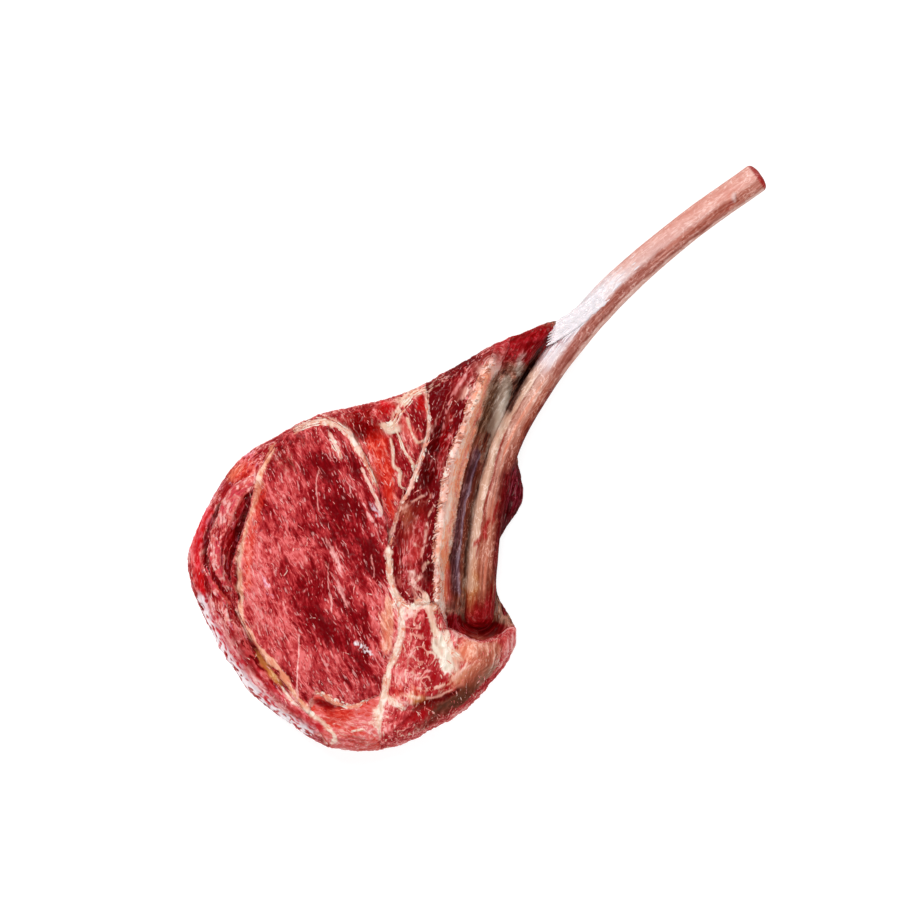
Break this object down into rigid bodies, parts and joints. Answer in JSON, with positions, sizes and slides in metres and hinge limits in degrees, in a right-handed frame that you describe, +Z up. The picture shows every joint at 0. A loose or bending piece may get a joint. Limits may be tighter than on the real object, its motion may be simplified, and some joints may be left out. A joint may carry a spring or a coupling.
{
  "type": "veal tomahawk steak",
  "caption": "Raw veal tomahawk steak: a round rib chop with its muscles, fat ridge and a long, scraped, curved rib bone.",
  "frame": {"origin": "under the middle of the whole, on the plane it rests on", "axes": "+Z up out of the shown cut face, +X along the rib bone to its free end, +Y towards the side away from the bone's belly"},
  "size_m": [0.3078, 0.1418, 0.0305],
  "materials": {
    "red_meat": "wet raw lean meat with fine pale marbling",
    "cap_meat": "wet raw meat under pale pink outer fat and folded membrane",
    "fatty_meat": "wet raw meat mixed with cream fat",
    "fat": "moist cream-pink fat",
    "membrane": "wet taupe and purple-grey membrane over red meat",
    "bone": "scraped pink bone with silvery sinew and terracotta edge"
  },
  "bodies": {
    "root": {"eye_muscle": "red_meat", "cap_muscle": "cap_meat", "tail_muscle": "red_meat", "wedge_muscle": "red_meat", "rib_lobe": "red_meat", "fat_ridge": "fat", "chine_meat": "fatty_meat", "rib_bed": "membrane", "rib_bone": "bone"}
  },
  "joints": []
}
